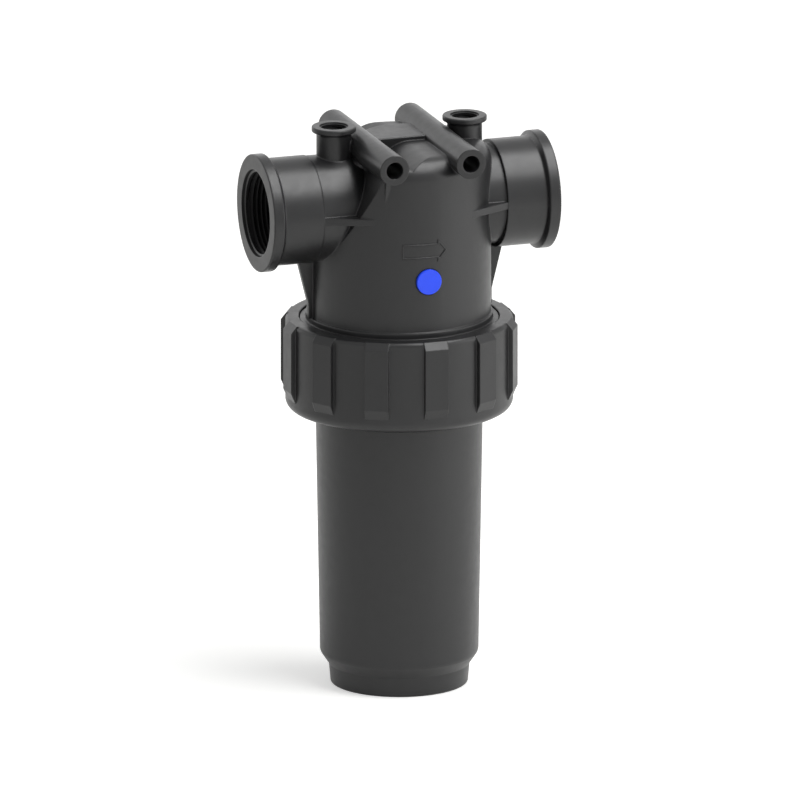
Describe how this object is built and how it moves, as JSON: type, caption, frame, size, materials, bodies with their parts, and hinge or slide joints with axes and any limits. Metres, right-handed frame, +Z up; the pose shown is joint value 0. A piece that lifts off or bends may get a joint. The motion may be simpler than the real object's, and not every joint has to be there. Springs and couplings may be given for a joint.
{
  "type": "inline water filter",
  "caption": "Inline water filter: moulded head with two threaded pipe ports, gauge bosses and mounting tubes, and a bowl held by a ribbed ring nut.",
  "frame": {"origin": "centre of the bowl's foot, on the floor it stands on", "axes": "+Z up along the bowl's axis, +X from the inlet port to the outlet port, -Y to the side with the mesh plug"},
  "size_m": [0.147, 0.1148, 0.2809],
  "materials": {
    "head_plastic": "moulded glass-filled polypropylene",
    "nut_plastic": "moulded glass-filled polypropylene",
    "bowl_plastic": "moulded glass-filled polypropylene",
    "plug_blue": "moulded blue plastic",
    "cage_blue": "moulded blue plastic",
    "screen_steel": "woven stainless mesh",
    "seal_rubber": "moulded nitrile rubber"
  },
  "bodies": {
    "head_body": {"head": "head_plastic", "mesh_plug": "plug_blue"},
    "nut_body": {"ring_nut": "nut_plastic"},
    "bowl_body": {"bowl": "bowl_plastic", "bowl_seal": "seal_rubber", "cartridge_cage": "cage_blue", "cartridge_screen": "screen_steel", "cartridge_top_cap": "cage_blue", "cartridge_base_cap": "cage_blue", "cartridge_top_gasket": "seal_rubber", "cartridge_base_gasket": "seal_rubber"}
  },
  "joints": [
    {"name": "bowl_lower", "type": "slide", "parent": "head_body", "child": "bowl_body", "axis": [0, 0, -1], "range_m": [0, 0.018]},
    {"name": "ring_nut_turn", "type": "hinge", "parent": "bowl_body", "child": "nut_body", "pos_m": [0, 0, 0.1604], "axis": [0, 0, -1], "range_deg": [0, 1080]}
  ],
  "couplings": [
    {"joint": "bowl_lower", "follows": "ring_nut_turn", "m_per_rad": 0.00095492}
  ]
}
